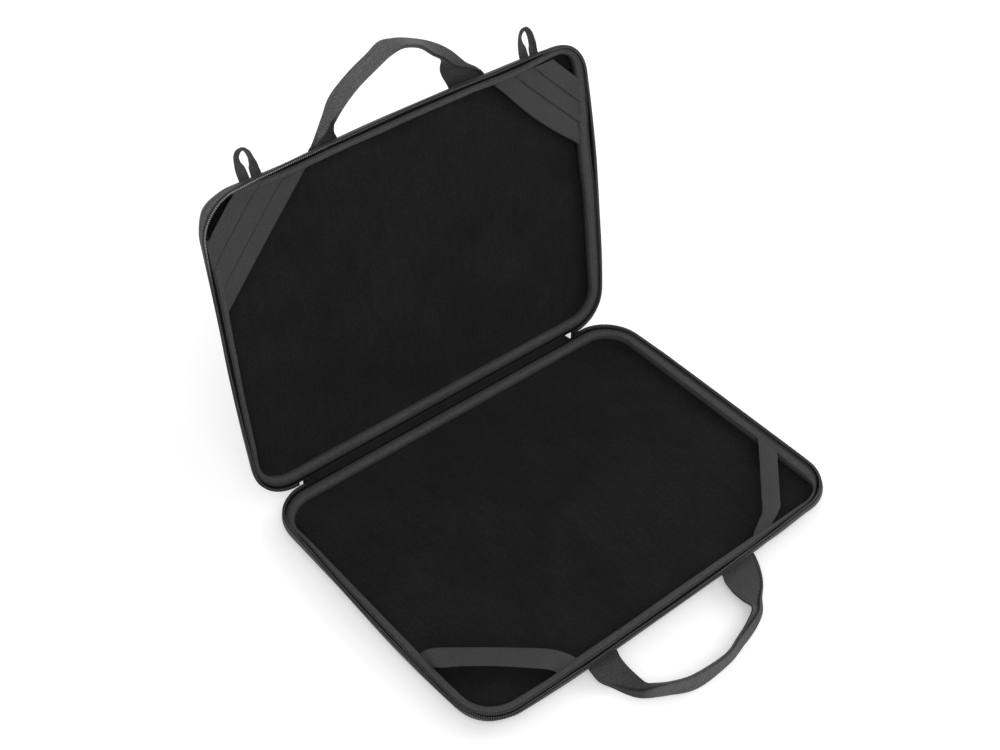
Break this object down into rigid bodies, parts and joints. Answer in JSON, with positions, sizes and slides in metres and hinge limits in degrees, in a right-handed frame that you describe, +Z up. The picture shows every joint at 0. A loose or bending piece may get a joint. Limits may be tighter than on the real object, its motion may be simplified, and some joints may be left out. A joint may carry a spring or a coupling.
{
  "type": "laptop hard case",
  "caption": "Slim moulded laptop hard case with a zip edge, a fabric hinge along the back, webbing handles, strap loops and elastic corner holders; shown with its lid open.",
  "frame": {"origin": "middle of the flat bottom face of the base", "axes": "+X along the hinge, -Y towards the handles, +Z up out of the base"},
  "size_m": [0.381, 0.4114, 0.3427],
  "materials": {
    "outer_cover": "woven polyester, matte",
    "foam": "moulded foam, matte",
    "lining": "brushed fleece, matte",
    "binding": "ribbed grosgrain tape, slight sheen",
    "zip_tape": "twill zip tape, matte",
    "zip_coil": "moulded coil teeth, satin",
    "elastic": "ribbed elastic webbing, matte",
    "webbing": "woven webbing, slight sheen",
    "zip_metal": "black lacquered metal, satin"
  },
  "bodies": {
    "base": {"base_cover": "outer_cover", "base_core": "foam", "base_lining": "lining", "base_edge_binding": "binding", "base_zip_tape": "zip_tape", "base_zip_coil": "zip_coil", "base_zip_stops": "zip_metal", "base_strap_left": "elastic", "base_strap_right": "elastic", "hinge_strip_lower": "outer_cover", "zip_slider_left": "zip_metal", "zip_slider_right": "zip_metal"},
    "base_handle": {"base_handle": "webbing"},
    "lid": {"lid_cover": "outer_cover", "lid_core": "foam", "lid_lining": "lining", "lid_edge_binding": "binding", "lid_zip_tape": "zip_tape", "lid_zip_coil": "zip_coil", "lid_zip_stops": "zip_metal", "hinge_strip_upper": "outer_cover", "lid_band_left_inner": "elastic", "lid_band_left_middle": "elastic", "lid_band_left_outer": "elastic", "lid_band_right_inner": "elastic", "lid_band_right_middle": "elastic", "lid_band_right_outer": "elastic"},
    "lid_handle": {"lid_handle": "webbing"},
    "strap_loop_left": {"strap_loop_left": "webbing"},
    "strap_loop_right": {"strap_loop_right": "webbing"},
    "zip_pull_left": {"zip_pull_left": "zip_metal"},
    "zip_pull_right": {"zip_pull_right": "zip_metal"}
  },
  "joints": [
    {"name": "lid_hinge", "type": "hinge", "parent": "base", "child": "lid", "pos_m": [0, 0.13865, 0.0137], "axis": [1, 0, 0], "range_deg": [-40, 100]},
    {"name": "base_handle_swing", "type": "hinge", "parent": "base", "child": "base_handle", "pos_m": [-0.0045, -0.1401, 0.011], "axis": [1, 0, 0], "range_deg": [-80, 1], "stiffness_Nm_per_rad": 0.2},
    {"name": "lid_handle_swing", "type": "hinge", "parent": "lid", "child": "lid_handle", "pos_m": [-0.0045, 0.19917, 0.28608], "axis": [1, 0, 0], "range_deg": [-80, 3], "stiffness_Nm_per_rad": 0.2},
    {"name": "strap_loop_left_swing", "type": "hinge", "parent": "lid", "child": "strap_loop_left", "pos_m": [-0.1375, 0.19915, 0.28598], "axis": [1, 0, 0], "range_deg": [-60, 60], "stiffness_Nm_per_rad": 0.005},
    {"name": "strap_loop_right_swing", "type": "hinge", "parent": "lid", "child": "strap_loop_right", "pos_m": [0.1285, 0.19915, 0.28598], "axis": [1, 0, 0], "range_deg": [-60, 60], "stiffness_Nm_per_rad": 0.005},
    {"name": "zip_pull_left_swing", "type": "hinge", "parent": "base", "child": "zip_pull_left", "pos_m": [-0.1465, 0.14075, 0.0185], "axis": [0, 1, 0], "range_deg": [-5, 85]},
    {"name": "zip_pull_right_swing", "type": "hinge", "parent": "base", "child": "zip_pull_right", "pos_m": [0.1465, 0.14075, 0.0185], "axis": [0, 1, 0], "range_deg": [-85, 5]}
  ]
}
